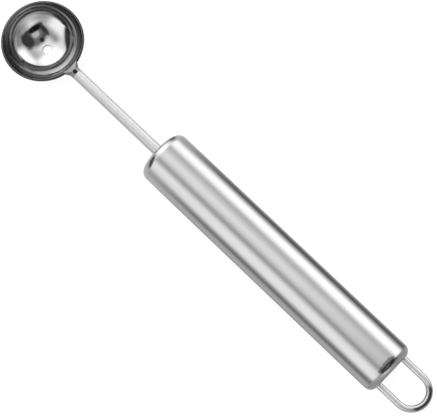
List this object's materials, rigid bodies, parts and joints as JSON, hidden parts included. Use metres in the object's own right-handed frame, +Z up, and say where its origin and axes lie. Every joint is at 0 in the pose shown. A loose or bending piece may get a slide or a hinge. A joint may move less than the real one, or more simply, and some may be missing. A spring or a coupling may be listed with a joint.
{
  "type": "vegetable corer",
  "caption": "Stainless steel ball scoop: round vented bowl welded to a thin shank, tubular handle with rounded caps and a wire hanging loop.",
  "frame": {"origin": "under the middle of the tool's length, on the surface it lies on", "axes": "+X along the handle from the hanging loop to the bowl, +Z up out of the bowl's mouth, Y across the tool"},
  "size_m": [0.2006, 0.03, 0.02],
  "materials": {
    "bowl_steel": "mirror-polished inside and out, rim ground",
    "weld_steel": "ground and polished weld",
    "rod_steel": "polished round rod",
    "handle_steel": "satin polish, grained along the handle",
    "wire_steel": "polished round wire"
  },
  "bodies": {
    "root": {"scoop_bowl": "bowl_steel", "bowl_weld": "weld_steel", "shank": "rod_steel", "shank_weld": "weld_steel", "front_cap": "handle_steel", "handle_tube": "handle_steel", "end_cap": "handle_steel", "hanging_loop": "wire_steel", "loop_welds": "weld_steel"}
  },
  "joints": []
}
